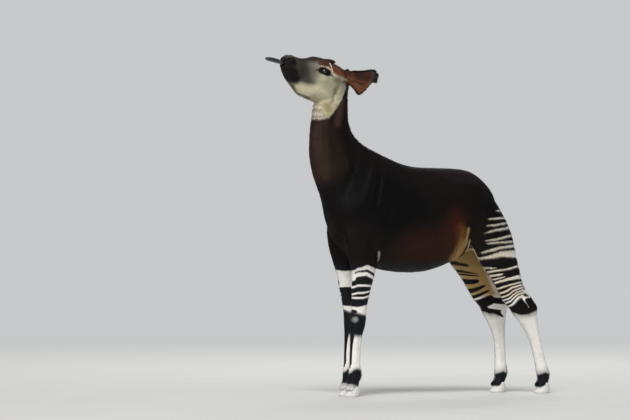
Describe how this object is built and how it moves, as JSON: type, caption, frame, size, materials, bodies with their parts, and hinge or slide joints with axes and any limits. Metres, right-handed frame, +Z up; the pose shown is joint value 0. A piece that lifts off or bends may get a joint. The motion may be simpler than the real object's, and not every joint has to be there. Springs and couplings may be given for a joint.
{
  "type": "okapi",
  "caption": "Standing okapi at life size, head raised and tongue out, with cupped ears, short ossicones, striped legs and cloven hooves.",
  "frame": {"origin": "centre of the bounding box in plan, on the floor under the hooves", "axes": "+X towards the tail, so the head points to -X; +Y towards the animal's right; +Z up"},
  "size_m": [1.9902, 0.452, 2.1938],
  "materials": {
    "body_coat": "short glossy hair",
    "head_coat": "short hair",
    "leg_coat": "short hair with dark bands",
    "ear_coat": "short hair",
    "ossicone_skin": "short hair with a bare tip",
    "eye": "wet gloss",
    "tongue_skin": "moist",
    "hoof_horn": "satin horn"
  },
  "bodies": {
    "root": {"torso": "body_coat", "neck": "body_coat", "head": "head_coat", "ear_left": "ear_coat", "ear_right": "ear_coat", "ossicone_left": "ossicone_skin", "ossicone_right": "ossicone_skin", "eye_left": "eye", "eye_right": "eye", "tongue": "tongue_skin", "tail": "body_coat", "tail_tuft": "body_coat", "fore_left_upper": "leg_coat", "fore_left_cannon": "leg_coat", "fore_left_pastern": "leg_coat", "fore_left_hoof_inner": "hoof_horn", "fore_left_hoof_outer": "hoof_horn", "fore_right_upper": "leg_coat", "fore_right_cannon": "leg_coat", "fore_right_pastern": "leg_coat", "fore_right_hoof_inner": "hoof_horn", "fore_right_hoof_outer": "hoof_horn", "hind_left_upper": "leg_coat", "hind_left_cannon": "leg_coat", "hind_left_pastern": "leg_coat", "hind_left_hoof_inner": "hoof_horn", "hind_left_hoof_outer": "hoof_horn", "hind_right_upper": "leg_coat", "hind_right_cannon": "leg_coat", "hind_right_pastern": "leg_coat", "hind_right_hoof_inner": "hoof_horn", "hind_right_hoof_outer": "hoof_horn"}
  },
  "joints": []
}
